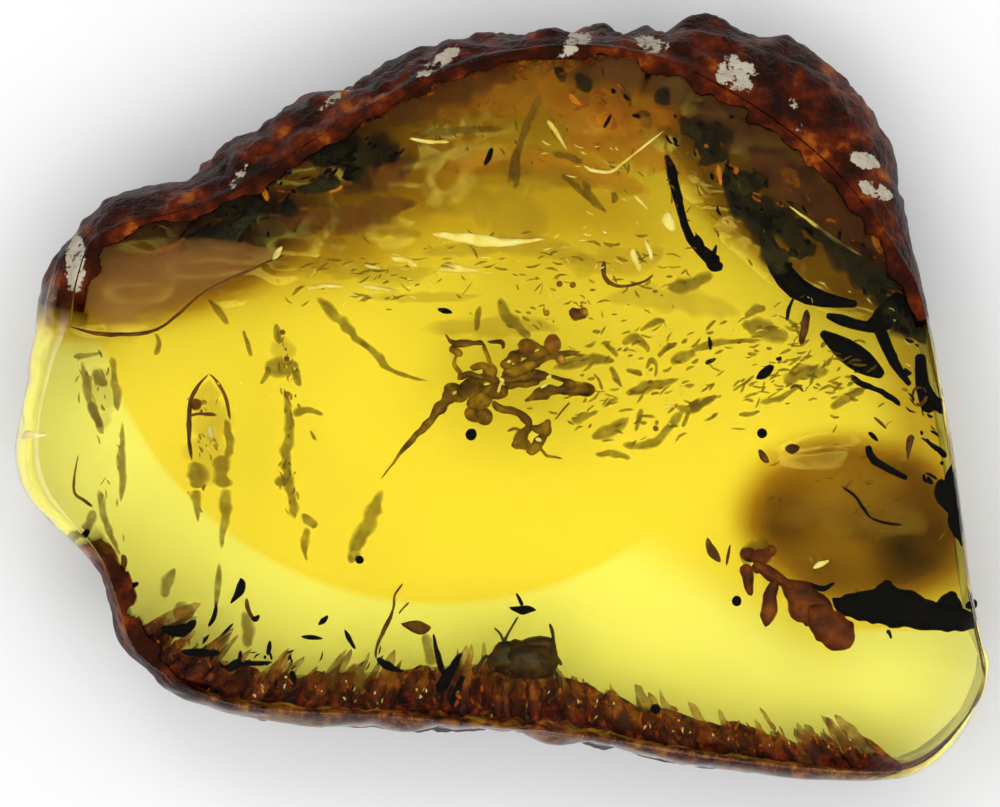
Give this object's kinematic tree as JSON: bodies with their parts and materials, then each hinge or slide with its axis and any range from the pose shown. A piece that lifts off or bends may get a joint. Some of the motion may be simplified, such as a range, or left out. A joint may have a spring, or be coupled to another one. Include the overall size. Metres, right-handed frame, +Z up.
{
  "type": "fossil aphid in amber",
  "caption": "Polished slice of clear yellow amber with a rough dark crust, holding a fossil aphid, bud scales and bits of bark and plant.",
  "frame": {"origin": "middle of the slice's box, on its flat underside", "axes": "+Z up out of the polished top face, +X along the slice's length towards the straight sawn edge, +Y towards the edge with the widest crust"},
  "size_m": [0.0301, 0.0234, 0.0058],
  "materials": {
    "amber": "clear yellow amber, polished above and below, with a rough red-brown crust on its edges",
    "aphid_skin": "dark brown fossil insect skin, slightly translucent",
    "plant_remains": "brown fossil bud scales and plant shreds",
    "bark": "black charred bark"
  },
  "bodies": {
    "root": {"amber_upper": "amber", "amber_lower": "amber", "aphid": "aphid_skin", "bud_scales": "plant_remains", "plant_debris": "plant_remains", "bark_sliver": "bark", "bark_flake_1": "bark", "bark_flake_2": "bark", "bark_flake_3": "bark", "bark_flake_4": "bark", "bark_flake_5": "bark", "bark_flake_6": "bark"}
  },
  "joints": []
}
